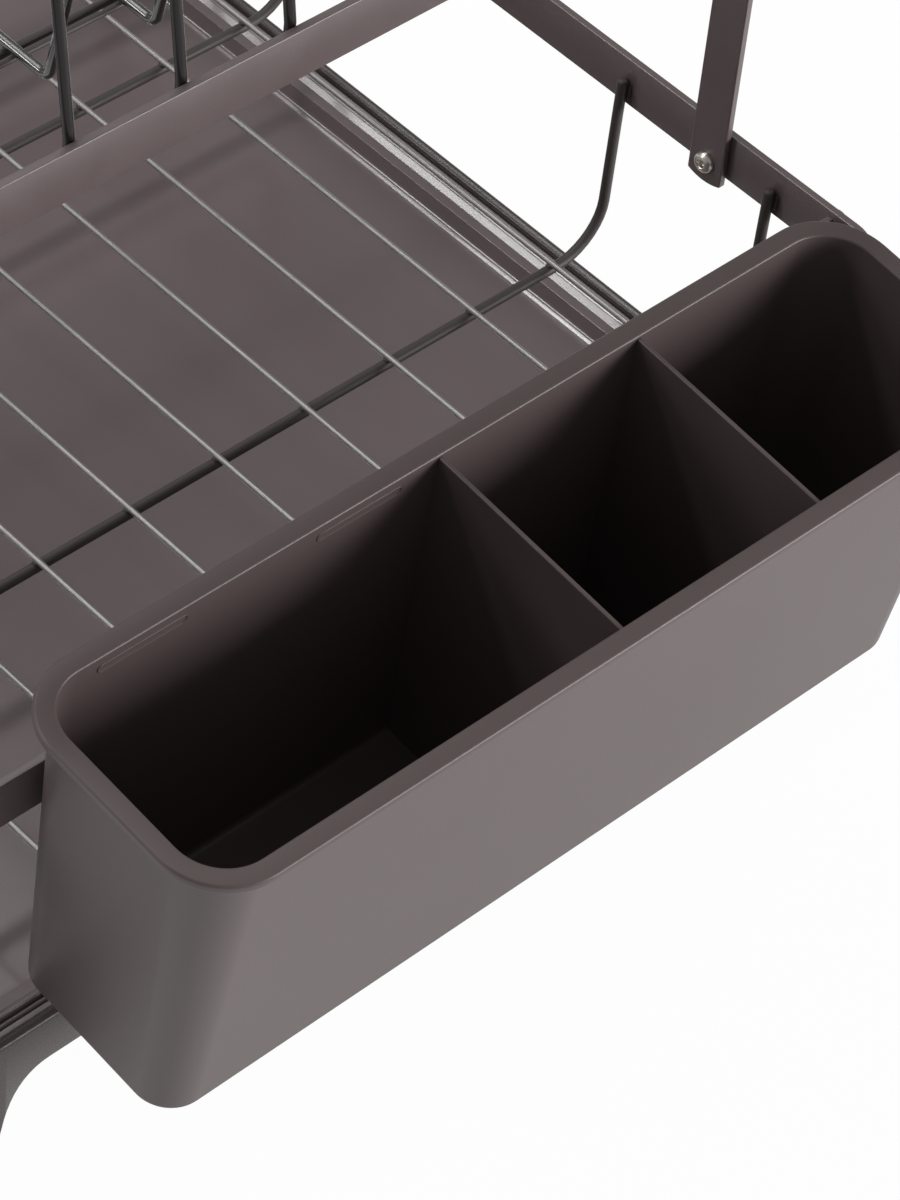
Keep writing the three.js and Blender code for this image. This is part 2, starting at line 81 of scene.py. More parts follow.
# %% Camera
camera_right = Vector((0.72761, -0.679767, 0.093716))
camera_up = Vector((0.451311, 0.576675, 0.681105))
camera_place = Vector((-0.810251, rack_front - 0.719261, 1.297009))
camera_data = bpy.data.cameras.new("photo_camera")
camera_data.lens = 140.33
camera_data.sensor_width = 36
camera_data.clip_end = 20
camera = bpy.data.objects.new("photo_camera", camera_data)
bpy.context.collection.objects.link(camera)
camera_turn = Matrix((camera_right, camera_up, camera_right.cross(camera_up))).transposed().to_4x4()
camera.matrix_world = Matrix.Translation(camera_place) @ camera_turn
bpy.context.scene.camera = camera
bpy.context.scene.view_settings.view_transform = "Standard"
print("camera at", [round(v, 3) for v in camera_place], "lens", round(camera_data.lens, 2), "mm")

# %% [markdown]
# ## Writing shader maths as arithmetic
# Blender's shaders are graphs of nodes. Wrapping a socket in a small class with + - and * lets the
# patterns below read as formulas. One method, make, adds every node: its settings first, then the
# values or links of its sockets, which are called by name, or by number where two share a name.

# %% A small shader language
class Field:
    """One output socket that can be used in ordinary arithmetic."""

    def __init__(self, graph, socket):
        self.graph = graph
        self.socket = socket

    def join(self, operation, *values):
        return self.graph.make("ShaderNodeMath", dict(enumerate(values)), {"operation": operation})

    def __add__(self, other):
        return self.join("ADD", self, other)

    def __radd__(self, other):
        return self.join("ADD", other, self)

    def __sub__(self, other):
        return self.join("SUBTRACT", self, other)

    def __rsub__(self, other):
        return self.join("SUBTRACT", other, self)

    def __mul__(self, other):
        return self.join("MULTIPLY", self, other)

    def __rmul__(self, other):
        return self.join("MULTIPLY", other, self)

    def above(self, edge, blur):
        """0 below the edge and 1 above it, with a soft step as wide as the blur."""
        sockets = {0: self, 1: edge - blur / 2, 2: edge + blur / 2}
        return self.graph.make("ShaderNodeMapRange", sockets, {"interpolation_type": "SMOOTHSTEP"})


class Graph:
    """The nodes of a material or of the world, with its main shader ready."""

    def __init__(self, owner, shader="Principled BSDF"):
        owner.use_nodes = True
        self.tree = owner.node_tree
        self.shader = self.tree.nodes[shader]

    def feed(self, place, value):
        if isinstance(value, Field):
            self.tree.links.new(value.socket, place)
        else:
            place.default_value = value

    def make(self, kind, sockets, settings=None, output=0):
        node = self.tree.nodes.new(kind)
        for name, value in (settings or {}).items():
            setattr(node, name, value)
        for name, value in sockets.items():
            self.feed(node.inputs[name], value)
        return Field(self, node.outputs[output])

    def surface(self, sockets):
        for name, value in sockets.items():
            self.feed(self.shader.inputs[name], value)

    def noise(self, scale, detail, roughness=0.5):
        here = self.make("ShaderNodeTexCoord", {}, output="Object")
        return self.make("ShaderNodeTexNoise",
                         {"Vector": here, "Scale": scale, "Detail": detail, "Roughness": roughness})

    def mix(self, share, low, high):
        return self.make("ShaderNodeMix", {0: share, 6: (*low, 1.0), 7: (*high, 1.0)},
                         {"data_type": "RGBA"}, output=2)

    def bump(self, height, distance):
        return self.make("ShaderNodeBump", {"Height": height, "Distance": distance, "Strength": 1.0})


# %% [markdown]
# ## Satin coating on steel
# Coated steel isn't perfectly smooth: the powder melts into a skin with a faint orange peel, a little
# mottling in how glossy it is, and a few brighter specks. All three come from noise in object space, at
# the size the real ones have, so the pattern stays still when a piece moves. Bands, rods, wires, prongs
# and posts take the coat differently, so each has its own tone, gloss and depth of peel. The thin wires'
# light tone is partly their own colour and partly a painted sheen for the bright highlight along them.

# %% Coated steel
def coated_steel(name, dark, light, rough, gloss, coat, coat_rough, peel_depth):
    material = bpy.data.materials.new(name)
    graph = Graph(material)
    mottle = graph.noise(55.0, detail=4.0)
    peel = graph.noise(1400.0, detail=2.0)
    specks = graph.noise(2600.0, detail=1.0).above(0.7, 0.06)
    graph.surface({
        "Base Color": graph.mix(mottle * 0.8 + specks * 0.35, dark, light),
        "Roughness": rough + 0.12 * mottle + 0.05 * peel,
        "Normal": graph.bump(peel * 0.7 + specks * 0.4, peel_depth),
        "Specular IOR Level": gloss,
        "Coat Weight": coat,
        "Coat Roughness": coat_rough,
    })
    return material


band_coat = coated_steel("band_coat", (0.1, 0.072, 0.073), (0.126, 0.095, 0.096), rough=0.3, gloss=0.7,
                         coat=0.25, coat_rough=0.16, peel_depth=0.00004)
rod_coat = coated_steel("rod_coat", (0.05, 0.041, 0.041), (0.07, 0.06, 0.06), rough=0.42, gloss=0.3,
                        coat=0.0, coat_rough=0.16, peel_depth=0.00001)
# The light tone is partly painted sheen, standing in for the highlight along the wires.
wire_coat_painted_sheen = coated_steel("wire_coat_painted_sheen", (0.125, 0.108, 0.108), (0.165, 0.145, 0.145), rough=0.32, gloss=1.0,
                         coat=0.8, coat_rough=0.3, peel_depth=0.000003)
prong_coat = coated_steel("prong_coat", (0.014, 0.011, 0.011), (0.022, 0.018, 0.018), rough=0.14, gloss=1.0,
                          coat=0.6, coat_rough=0.1, peel_depth=0.000003)
peg_coat = coated_steel("peg_coat", (0.012, 0.009, 0.009), (0.02, 0.016, 0.016), rough=0.16, gloss=0.3,
                        coat=0.0, coat_rough=0.16, peel_depth=0.000003)
print("coated steel", [coat.name for coat in (band_coat, rod_coat, wire_coat_painted_sheen, prong_coat, peg_coat)])

# %% [markdown]
# ## Satin plastic
# The tray, base and holder are moulded from one warm grey-brown plastic, and the tray's mould is the best
# polished. The tray's lighter tone is painted light, and the base's darker tone is painted shade. A
# moulding carries the fine spark texture of its tool, slow flow marks in its tone, and a few dust specks
# caught on the satin skin. Each of these is one noise, so one function makes all three.

# %% Satin plastic
def satin_plastic(name, dark, light, rough, grain, gloss, texture_depth):
    material = bpy.data.materials.new(name)
    graph = Graph(material)
    flow = graph.noise(7.0, detail=2.0, roughness=0.4)
    texture = graph.noise(grain, detail=3.0, roughness=0.6)
    dust = graph.noise(900.0, detail=1.0).above(0.79, 0.02)
    graph.surface({
        "Base Color": graph.mix(flow * 0.7 + texture * 0.3 + dust * 0.6, dark, light),
        "Roughness": rough + 0.1 * texture - 0.04 * flow,
        "Normal": graph.bump(texture, texture_depth),
        "Specular IOR Level": gloss,
    })
    return material


# Darker than the holder's plastic: painted shade.
base_skin_painted_shade = satin_plastic("base_skin_painted_shade", (0.052, 0.04, 0.04), (0.064, 0.05, 0.05), rough=0.24, grain=1300.0,
                          gloss=0.32, texture_depth=0.00004)
# Lighter than the holder's plastic: painted light.
tray_skin_painted_light = satin_plastic("tray_skin_painted_light", (0.128, 0.097, 0.099), (0.148, 0.114, 0.116), rough=0.17,
                          grain=1300.0, gloss=0.9, texture_depth=0.000007)
holder_skin = satin_plastic("holder_skin", (0.08, 0.059, 0.058), (0.093, 0.07, 0.069), rough=0.4,
                            grain=1500.0, gloss=0.45, texture_depth=0.00004)
print("plastics", [skin.name for skin in (base_skin_painted_shade, tray_skin_painted_light, holder_skin)])

# %% [markdown]
# ## Bright steel for the bolts
# The bolts are plated and stay bright. Handling leaves fine scratches, and the plating has soft blotches.
# A fine noise varies the gloss and a coarser one the tone, which is enough on a head this small.

# %% Bright steel
bolt_steel = bpy.data.materials.new("bolt_steel")
graph = Graph(bolt_steel)
scratch = graph.noise(700.0, detail=4.0, roughness=0.7)
blotch = graph.noise(160.0, detail=2.0)
graph.surface({
    "Base Color": graph.mix(blotch, (0.66, 0.63, 0.58), (0.78, 0.75, 0.69)),
    "Roughness": 0.24 + 0.12 * scratch,
    "Normal": graph.bump(scratch, 0.000004),
    "Metallic": 1.0,
})
print("bolts", bolt_steel.name)

# %% [markdown]
# ## Turning mesh code into finished pieces
# Every piece ends the same way: double points merged, faces turned outwards, flat and round faces
# shaded apart by angle, one material, one body to ride on, and the CAD nodes that it stands for.
# Everything in coated steel rides on the rack, so those pieces have a shorter call of their own.

# %% Finish a piece
def finish_piece(bm, name, material, body, nodes, sharp=35):
    bmesh.ops.remove_doubles(bm, verts=bm.verts, dist=1e-6)
    bmesh.ops.recalc_face_normals(bm, faces=bm.faces)
    mesh = bpy.data.meshes.new(name)
    bm.to_mesh(mesh)
    bm.free()
    mesh.materials.append(material)
    for polygon in mesh.polygons:
        polygon.use_smooth = True
    mesh.set_sharp_from_angle(angle=math.radians(sharp))
    piece = bpy.data.objects.new(name, mesh)
    bpy.context.collection.objects.link(piece)
    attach(piece, body)
    if nodes:
        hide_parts(*nodes)
    return piece


def finish_steel(bm, name, coat, nodes):
    return finish_piece(bm, name, coat, "rack", nodes)


def add_bevel(piece, width):
    bevel = piece.modifiers.new("rounded_edges", "BEVEL")
    bevel.width = width
    bevel.segments = 3
    bevel.limit_method = "ANGLE"
    bevel.angle_limit = math.radians(30)


# %% [markdown]
# ## Paths of wire and strip
# A bending machine turns a straight wire round a pin, so a real bend is straight runs joined by arcs. A
# path is written the same way: a few corners, each replaced by an arc. Along it stand stations, which
# are matrices that turn with the path and never twist, because a twist would wring the wire.

# %% Paths
bend_steps = 9


def corner_arc(before, corner, after, radius, steps):
    """Points on the arc that replaces a corner, in the order of the path."""
    back = (before - corner).normalized()
    onward = (after - corner).normalized()
    half = (math.pi - back.angle(onward)) / 2
    middle = (back + onward).normalized()
    side = (onward - back).normalized()
    centre = corner + middle * (radius / math.cos(half))
    turns = [half * (2 * i / steps - 1) for i in range(steps + 1)]
    return [centre + (side * math.sin(turn) - middle * math.cos(turn)) * radius for turn in turns]


def bent_path(corners, radius, steps=bend_steps):
    points = [corners[0]]
    for before, corner, after in zip(corners, corners[1:], corners[2:]):
        points += corner_arc(before, corner, after, radius, steps)
    return points + [corners[-1]]


def path_stations(points):
    """One matrix for each point of a path, turned so that its z axis runs along the path."""
    ahead = [(b - a).normalized() for a, b in zip(points, points[1:])]
    tangents = [ahead[0]] + [(a + b).normalized() for a, b in zip(ahead, ahead[1:])] + [ahead[-1]]
    turn = UP.rotation_difference(tangents[0])
    stations = []
    for i, (point, tangent) in enumerate(zip(points, tangents)):
        if i:
            turn = tangents[i - 1].rotation_difference(tangent) @ turn
        stations.append(Matrix.Translation(point) @ turn.to_matrix().to_4x4())
    return stations


# %% [markdown]
# ## Sweeping wire and strip
# A wire is a circle dragged along a path, and a strip is a rectangle dragged the same way. At each
# station the outline is extruded and carried on by the station's matrix. A curve with a bevel would give
# the same tube, but not its ends: cut wire is tumbled, so its ends are drawn in over four small rings.

# %% Sweeps
tube_sides = 20
# for each ring of a cut end: how far it lies from the tip and how wide it is, both in radii
cut_end = [(0.0, 0.6), (0.12, 0.82), (0.35, 0.96), (0.7, 1.0)]


def edges_of(verts):
    return list({edge for vert in verts for edge in vert.link_edges})


def carry(bm, edges, stations):
    """Extrudes an outline's edges from station to station, and gives the last ones back."""
    for station, following in zip(stations, stations[1:]):
        grown = bmesh.ops.extrude_edge_only(bm, edges=edges)["geom"]
        verts = [item for item in grown if isinstance(item, bmesh.types.BMVert)]
        bmesh.ops.transform(bm, matrix=following @ station.inverted(), verts=verts)
        edges = [item for item in grown if isinstance(item, bmesh.types.BMEdge)]
    return edges


def sweep_tube(bm, points, radius, sides=tube_sides):
    stations = path_stations(points)
    ends = [Matrix.Translation((0, 0, radius * run)) @ Matrix.Diagonal((size, size, 1, 1))
            for run, size in cut_end]
    start = [stations[0] @ end for end in ends]
    flip = Matrix.Diagonal((1, 1, -1, 1))
    finish = [stations[-1] @ flip @ end @ flip for end in reversed(ends)]
    stations = start + stations[1:-1] + finish
    ring = bmesh.ops.create_circle(bm, segments=sides, radius=radius, matrix=stations[0])["verts"]
    edges = edges_of(ring)
    bmesh.ops.edgeloop_fill(bm, edges=edges)
    bmesh.ops.edgeloop_fill(bm, edges=carry(bm, edges, stations))


def sweep_strip(bm, points, half_x, half_y):
    stations = path_stations(points)
    matrix = stations[0] @ Matrix.Diagonal((half_x, half_y, 1, 1))
    section = bmesh.ops.create_grid(bm, x_segments=1, y_segments=1, size=1, matrix=matrix)
    bmesh.ops.edgeloop_fill(bm, edges=carry(bm, edges_of(section["verts"]), stations))


def add_wire(name, node, points, radius, coat):
    bm = bmesh.new()
    sweep_tube(bm, points, radius)
    finish_steel(bm, name, coat, [node])


# %% [markdown]
# ## Welds
# Wires are joined by resistance welding: they are pressed together and a current melts the contact. What
# shows is a low, slightly squeezed bead at each crossing. A bead is a small sphere flattened by a
# matrix, and all beads of one floor are one piece.

# %% Weld beads
def add_bead(bm, place, size):
    matrix = Matrix.Translation(place) @ Matrix.Diagonal((*size, 1))
    bmesh.ops.create_icosphere(bm, subdivisions=2, radius=1.0, matrix=matrix)


# %% [markdown]
# ## The lower floor
# Four thick rods hang from the side bands and ten thin wires lie across them. Each rod and wire is one
# U-shaped bend with its ends lapped on the inside of the bands. The corner points come from the CAD
# node's box, taken in by the wire's own radius. The CAD wires have six or eight flat sides, which makes
# their boxes a trace narrower than round wires, so only 0.97 of the radius is taken in.

# %% Lower rods and wires
rod_numbers = range(1, 5)
wire_numbers = range(1, 11)
rod_radius = 2.1 * MM
rod_bend = 22 * MM
wire_radius = 1.2 * MM
wire_bend = 15 * MM
box_share = 0.97


def u_corners(node, radius, axis):
    """The four corners of a U-shaped bend that stands in a node's box and runs along x or y."""
    low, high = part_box(node)
    low = low + Vector((radius, radius, radius)) * box_share
    high = high - Vector((radius, radius, 0)) * box_share
    middle = (low + high) / 2
    if axis == "x":
        ends = [Vector((x, middle.y, 0)) for x in (low.x, high.x)]
    else:
        ends = [Vector((middle.x, y, 0)) for y in (low.y, high.y)]
    up, down = UP * high.z, UP * low.z
    return [ends[0] + up, ends[0] + down, ends[1] + down, ends[1] + up]


for i in rod_numbers:
    corners = u_corners(f"lower_rod_{i}", rod_radius, "x")
    add_wire(f"rod_{i}", f"lower_rod_{i}", bent_path(corners, rod_bend), rod_radius, rod_coat)
for i in wire_numbers:
    corners = u_corners(f"lower_wire_{i}", wire_radius, "y")
    add_wire(f"wire_{i}", f"lower_wire_{i}", bent_path(corners, wire_bend), wire_radius, wire_coat_painted_sheen)
print("lower floor", len(rod_numbers), "rods and", len(wire_numbers), "wires")

# %% [markdown]
# A bead sits on each side of every rod end, where it is lapped on the band, and one lies at every
# crossing of a wire and a rod.

# %% Beads of the lower floor
lap_bead = (0.9 * MM, 1.1 * MM, 3.6 * MM)
lap_x = rack_side - band_thickness - 0.4 * MM
lap_drop = 6 * MM
crossing_bead = (1.7 * MM, 1.9 * MM, 0.9 * MM)
bm = bmesh.new()
for i in rod_numbers:
    rod_y = middle_of(f"lower_rod_{i}").y
    lap_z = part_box(f"lower_rod_{i}")[1].z - lap_drop
    for side in (-1, 1):
        for shift in (-2 * MM, 2 * MM):
            add_bead(bm, (side * lap_x, rod_y + shift, lap_z), lap_bead)
    for j in wire_numbers:
        wire = f"lower_wire_{j}"
        add_bead(bm, (middle_of(wire).x, rod_y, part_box(wire)[0].z), crossing_bead)
finish_steel(bm, "lower_welds", rod_coat, [])
print("beads", len(rod_numbers) * (4 + len(wire_numbers)))

# %% [markdown]
# ## The upper floor
# Two cross rods hang from the upper band and carry ten wires. The front ends of the wires are turned up
# as prongs that hold cups and lean towards the front. A thin tie wire runs beside each rod and keeps the
# prongs in line. The rods are U-shaped bends like the lower ones, and the ties are straight.

# %% Upper rods and ties
cross_rod_radius = 1.6 * MM
cross_rod_bend = 9 * MM
tie_radius = 1.1 * MM


def straight_path(node):
    """The two ends of a straight wire that runs along x through the middle of a node's box."""
    low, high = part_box(node)
    middle = (low + high) / 2
    return [Vector((x, middle.y, middle.z)) for x in (low.x, high.x)]


for row in ("front", "back"):
    corners = u_corners(f"upper_rod_{row}", cross_rod_radius, "x")
    points = bent_path(corners, cross_rod_bend)
    add_wire(f"cross_rod_{row}", f"upper_rod_{row}", points, cross_rod_radius, rod_coat)
    add_wire(f"tie_{row}", f"upper_tie_{row}", straight_path(f"upper_tie_{row}"), tie_radius, rod_coat)
print("upper floor", 2, "rods and", 2, "ties")

# %% [markdown]
# An upper wire has two bends, one where its prong turns up and one at the back of the floor. Its path
# starts at the prong's tip, runs down and along the floor, and ends lapped on the back band.

# %% Upper wires with their prongs
prong_radius = 1.9 * MM
prong_bend = 4.5 * MM
prong_lean = math.radians(11)
prong_height = 55 * MM
back_lap_z = upper_band_top - 8 * MM
for i in wire_numbers:
    low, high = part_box(f"upper_wire_{i}")
    x = (low.x + high.x) / 2
    floor_z = low.z + prong_radius * box_share
    tip_y = low.y + prong_radius
    back_y = high.y - prong_radius
    corners = [
        Vector((x, tip_y, floor_z + prong_height)),
        Vector((x, tip_y + prong_height * math.tan(prong_lean), floor_z)),
        Vector((x, back_y, floor_z)),
        Vector((x, back_y, back_lap_z)),
    ]
    add_wire(f"prong_wire_{i}", f"upper_wire_{i}", bent_path(corners, prong_bend), prong_radius, prong_coat)
print("prong wires", len(wire_numbers))

# %% [markdown]
# The upper wires are welded to both rods and both ties. Each guard post, which comes next, has a long
# bead on either side of its foot, and these beads belong to the same piece.

# %% Beads of the upper floor
wire_bead = (1.5 * MM, 1.3 * MM, 0.6 * MM)
post_bead = (0.9 * MM, 0.7 * MM, 4.5 * MM)
post_bead_rise = 7 * MM
bm = bmesh.new()
for row in ("front", "back"):
    for i in wire_numbers:
        wire = f"upper_wire_{i}"
        under_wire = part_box(wire)[0].z - 0.1 * MM
        for bar in (f"upper_rod_{row}", f"upper_tie_{row}"):
            add_bead(bm, (middle_of(wire).x, middle_of(bar).y, under_wire), wire_bead)
for i in wire_numbers:
    post = f"guard_post_{i}"
    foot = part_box(post)[0]
    for shift in (-1.5 * MM, 1.5 * MM):
        place = (middle_of(post).x + shift, foot.y + 0.3 * MM, foot.z + post_bead_rise)
        add_bead(bm, place, post_bead)
finish_steel(bm, "upper_welds", rod_coat, [])
print("beads", len(wire_numbers) * 6)

# %% [markdown]
# ## The guard
# Posts welded inside the front band of the upper tier keep cups from sliding off. They rise straight to
# the band's top, lean back a little above it, and carry a rail. The CAD posts have eight flat sides, so
# here 0.93 of the radius is taken in.

# %% Guard posts and rail
post_radius = 1.95 * MM
post_inset = post_radius * 0.93
post_bend = 8 * MM
post_bend_steps = 4
for i in wire_numbers:
    low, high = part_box(f"guard_post_{i}")
    x = (low.x + high.x) / 2
    foot_y = low.y + post_inset
    corners = [
        Vector((x, foot_y, low.z)),
        Vector((x, foot_y, upper_band_top)),
        Vector((x, high.y - post_inset, high.z - 0.3 * MM)),
    ]
    points = bent_path(corners, post_bend, post_bend_steps)
    add_wire(f"post_{i}", f"guard_post_{i}", points, post_radius, peg_coat)
add_wire("rail", "guard_rail", straight_path("guard_rail"), post_inset, peg_coat)
print("guard posts", len(wire_numbers), "and a rail at", round(middle_of("guard_rail").z, 4))

# %% [markdown]
# ## Rings from a profile
# The bands, the tray, the base and the holder are all rings with rounded corners. Each is one profile
# dragged round a rounded rectangle. The profile's x runs outwards from the ring's edge and its y runs up.
# An open profile leaves a hole in the middle, which is then filled as a floor.

# %% Ring helpers
def ring_stations(half_x, front, back, radius, steps=10, extra_x=(), extra_y=()):
    """Matrices round a rounded rectangle, anticlockwise from the right end of its front side."""
    middle = (front + back) / 2
    corners = [
        (half_x - radius, front + radius, [(half_x, middle + y) for y in extra_y]),
        (half_x - radius, back - radius, [(x, back) for x in reversed(extra_x)]),
        (radius - half_x, back - radius, [(-half_x, middle + y) for y in reversed(extra_y)]),
        (radius - half_x, front + radius, [(x, front) for x in extra_x]),
    ]
    stations = []
    for number, (x, y, along_side) in enumerate(corners):
        start = (number - 1) * math.pi / 2
        angles = [start + math.pi / 2 * i / steps for i in range(steps + 1)]
        places = [(x + radius * math.cos(angle), y + radius * math.sin(angle), angle) for angle in angles]
        places += [(*place, start + math.pi / 2) for place in along_side]
        for place_x, place_y, angle in places:
            outward = Vector((math.cos(angle), math.sin(angle), 0))
            basis = Matrix((outward, UP, outward.cross(UP))).transposed().to_4x4()
            stations.append(Matrix.Translation((place_x, place_y, 0)) @ basis)
    return stations


def sweep_ring(bm, profile, closed, stations):
    verts = [bm.verts.new(stations[0] @ Vector((x, y, 0))) for x, y in profile]
    pairs = list(zip(verts, verts[1:])) + ([(verts[-1], verts[0])] if closed else [])
    edges = [bm.edges.new(pair) for pair in pairs]
    carry(bm, edges, stations + stations[:1])
    bmesh.ops.remove_doubles(bm, verts=bm.verts, dist=1e-6)


def close_floor(bm):
    """Fills the two inner loops that an open profile leaves, so that a ring becomes a dish."""
    bmesh.ops.edgeloop_fill(bm, edges=[edge for edge in bm.edges if edge.is_boundary])


def rounded_profile(corners, steps=4):
    """A profile through corners given as (x, y, radius), with each corner rounded by its own radius."""
    points = []
    for i, (x, y, radius) in enumerate(corners):
        corner = Vector((x, y))
        if radius:
            before = Vector(corners[i - 1][:2])
            after = Vector(corners[(i + 1) % len(corners)][:2])
            points += corner_arc(before, corner, after, radius, steps)
        else:
            points.append(corner)
    return [tuple(point) for point in points]


# %% [markdown]
# ## The two bands
# Each frame is a strip 20 mm high and 3 mm thick with slightly rounded edges, bent round four corners
# and welded shut. A closed profile with its four corners rounded, swept round a ring, gives just that.

# %% Bands
band_edge = 0.35 * MM


def add_band(node, name, corner_radius):
    low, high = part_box(node)
    profile = rounded_profile([
        (0, low.z, band_edge), (0, high.z, band_edge),
        (-band_thickness, high.z, band_edge), (-band_thickness, low.z, band_edge),
    ])
    bm = bmesh.new()
    sweep_ring(bm, profile, True, ring_stations(high.x, low.y, high.y, corner_radius))
    finish_steel(bm, name, band_coat, [node])


add_band("lower_frame", "lower_band", 15 * MM)
add_band("upper_frame", "upper_band", 8.5 * MM)
print("bands at", round(lower_band_top, 4), "and", round(upper_band_top, 4))

# %% [markdown]
# ## Arms
# The arms are cut from flat bar, and both ends are cut to a shallow arc. A grid two cells long and twelve
# wide gives the outline. The points at its ends are drawn back along the arc, and pulling the grid out
# gives the thickness. A fine bevel takes the sharpness off. Each arm leans inwards about its lower bolt.

# %% Arms
arm_width = 16.4 * MM
arm_low_end = -9.3 * MM
arm_high_end = 192.35 * MM
arm_end_radius = 20 * MM
arm_lean = math.radians(1.4)
arm_columns = 12


def pull_out(bm, shift):
    """Extrudes all faces and moves the new ones, which turns a sheet into a plate."""
    grown = bmesh.ops.extrude_face_region(bm, geom=bm.faces[:])["geom"]
    verts = [item for item in grown if isinstance(item, bmesh.types.BMVert)]
    bmesh.ops.translate(bm, verts=verts, vec=shift)


def add_arm(node, bolt, name, lean):
    low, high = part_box(node)
    pivot = middle_of(bolt)
    half_length = (arm_high_end - arm_low_end) / 2
    centre = (arm_high_end + arm_low_end) / 2
    matrix = Matrix.Translation((0, 0, centre)) @ Matrix.Rotation(-math.pi / 2, 4, "Y")
    matrix = matrix @ Matrix.Diagonal((half_length, arm_width / 2, 1, 1))
    bm = bmesh.new()
    bmesh.ops.create_grid(bm, x_segments=2, y_segments=arm_columns, size=1, matrix=matrix)
    for vert in bm.verts:
        along = vert.co.z - centre
        if abs(along) > half_length / 2:
            cut = arm_end_radius - math.sqrt(arm_end_radius ** 2 - vert.co.y ** 2)
            vert.co.z -= math.copysign(cut, along)
    pull_out(bm, (high.x - low.x, 0, 0))
    turned = Matrix.Translation((low.x, pivot.y, pivot.z)) @ Matrix.Rotation(lean, 4, "X")
    bmesh.ops.transform(bm, matrix=turned, verts=bm.verts)
    add_bevel(finish_steel(bm, name, band_coat, [node]), 0.5 * MM)


for row, lean in (("front", -arm_lean), ("back", arm_lean)):
    for column in ("left", "right"):
        add_arm(f"arm_{row}_{column}", f"bolt_lower_{row}_{column}", f"bar_{row}_{column}", lean)
print("arms", 4)

# %% [markdown]
# ## Bolts
# A button-head bolt is a turned shape, so its profile is spun a full turn. The profile runs over the
# domed crown and down into the socket. The socket's points start on circles and are then drawn onto a
# hexagon, which keeps the head round. Last, the bolt is laid along x with its head outwards.

# %% Bolts
bolt_reach = 6.3 * MM
shank_radius = 2 * MM
crown_height = 2.6 * MM
crown_foot = 0.3 * MM
crown_flat = 2.3 * MM
crown_steps = 6
spin_steps = 36
# points nearer the axis and higher than these belong to the socket's wall
socket_limit = 1.8 * MM
socket_depth = 1.7 * MM
socket_share = 0.9
sixth = math.pi / 3


def bolt_profile(head_radius):
    """(distance from the axis, height) from the shank's end over the head to the socket's middle."""
    points = [(0, -bolt_reach), (shank_radius, -bolt_reach), (shank_radius, 0), (head_radius, 0),
              (head_radius, crown_foot)]
    for k in range(1, crown_steps + 1):
        angle = math.pi / 2 * k / crown_steps
        points.append((head_radius - (head_radius - crown_flat) * (1 - math.cos(angle)),
                       crown_foot + (crown_height - crown_foot) * math.sin(angle)))
    socket = [(1.9 * MM, 0), (1.75 * MM, 0.25 * MM), (1.6 * MM, 1.6 * MM), (0, 1.9 * MM)]
    return points + [(radius, crown_height - depth) for radius, depth in socket]


def add_bolt(node, name, side):
    low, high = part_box(node)
    middle = (low + high) / 2
    bm = bmesh.new()
    verts = [bm.verts.new((x, 0, z)) for x, z in bolt_profile((high.z - low.z) / 2)]
    edges = [bm.edges.new(pair) for pair in zip(verts, verts[1:])]
    bmesh.ops.spin(bm, geom=verts + edges, cent=(0, 0, 0), axis=UP, angle=2 * math.pi,
                   steps=spin_steps, use_merge=True)
    bmesh.ops.remove_doubles(bm, verts=bm.verts, dist=1e-6)
    for vert in bm.verts:
        radius = math.hypot(vert.co.x, vert.co.y)
        if 1e-6 < radius < socket_limit and vert.co.z > crown_height - socket_depth:
            angle = math.atan2(vert.co.y, vert.co.x)
            from_flat = (angle + sixth / 2) % sixth - sixth / 2
            vert.co.x *= socket_share / math.cos(from_flat)
            vert.co.y *= socket_share / math.cos(from_flat)
    seat_x = middle.x - side * (bolt_reach - crown_height) / 2
    matrix = Matrix.Translation((seat_x, middle.y, middle.z)) @ Matrix.Rotation(-side * math.pi / 2, 4, "Y")
    bmesh.ops.transform(bm, matrix=matrix, verts=bm.verts)
    finish_piece(bm, name, bolt_steel, "rack", [node])


for level in ("lower", "upper"):
    for row in ("front", "back"):
        for column, side in (("left", -1), ("right", 1)):
            add_bolt(f"bolt_{level}_{row}_{column}", f"screw_{level}_{row}_{column}", side)
print("bolts", 8)

# %% [markdown]
# ## Legs of the rack
# Each leg is one strip, welded inside the side band and bent inwards at its foot, so that it stands on
# the tray without a sharp cut end. It is swept along its bend like a wire, with a rectangle for outline.

# %% Legs
leg_bend = 3.2 * MM
leg_bend_steps = 6


def add_leg(node, name, side):
    low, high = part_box(node)
    outer, inner = (high.x, low.x) if side > 0 else (low.x, high.x)
    y = (low.y + high.y) / 2
    upright_x = outer - side * band_thickness / 2
    foot_z = low.z + band_thickness / 2
    corners = [Vector((upright_x, y, high.z)), Vector((upright_x, y, foot_z)), Vector((inner, y, foot_z))]
    bm = bmesh.new()
    sweep_strip(bm, bent_path(corners, leg_bend, leg_bend_steps), band_thickness / 2, (high.y - low.y) / 2)
    add_bevel(finish_steel(bm, name, band_coat, [node]), 0.6 * MM)


for row in ("front", "back"):
    for column, side in (("left", -1), ("right", 1)):
        add_leg(f"rack_leg_{row}_{column}", f"leg_{row}_{column}", side)
print("legs", 4)

# %% [markdown]
# ## The drip tray
# The tray is a shallow pan with a stepped rim: an outer edge, a small bead, a bright ridge that the rack
# stands on, a ledge, and a sloping wall down to the flat floor. One open profile holds all of that, from
# the underside of the pan round the outer edge and back over the rim to its floor.

# %% Drip tray
tray_low, tray_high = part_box("drip_tray")
ridge_z = tray_high.z
rim_z = ridge_z - 2.6 * MM
pan_z = rim_z - 7.3 * MM
tray_wall = 2 * MM
rim_overhang = 0.55 * MM
pan_inset = 20 * MM
tray_corner = 20.6 * MM


def mound(centre, half_width, height, steps):
    """Profile corners over a rounded mound on the rim, from its outer foot to its inner one."""
    turns = [math.pi * i / steps for i in range(steps + 1)]
    return [(-(centre - half_width * math.cos(turn)), rim_z + height * math.sin(turn), 0) for turn in turns]


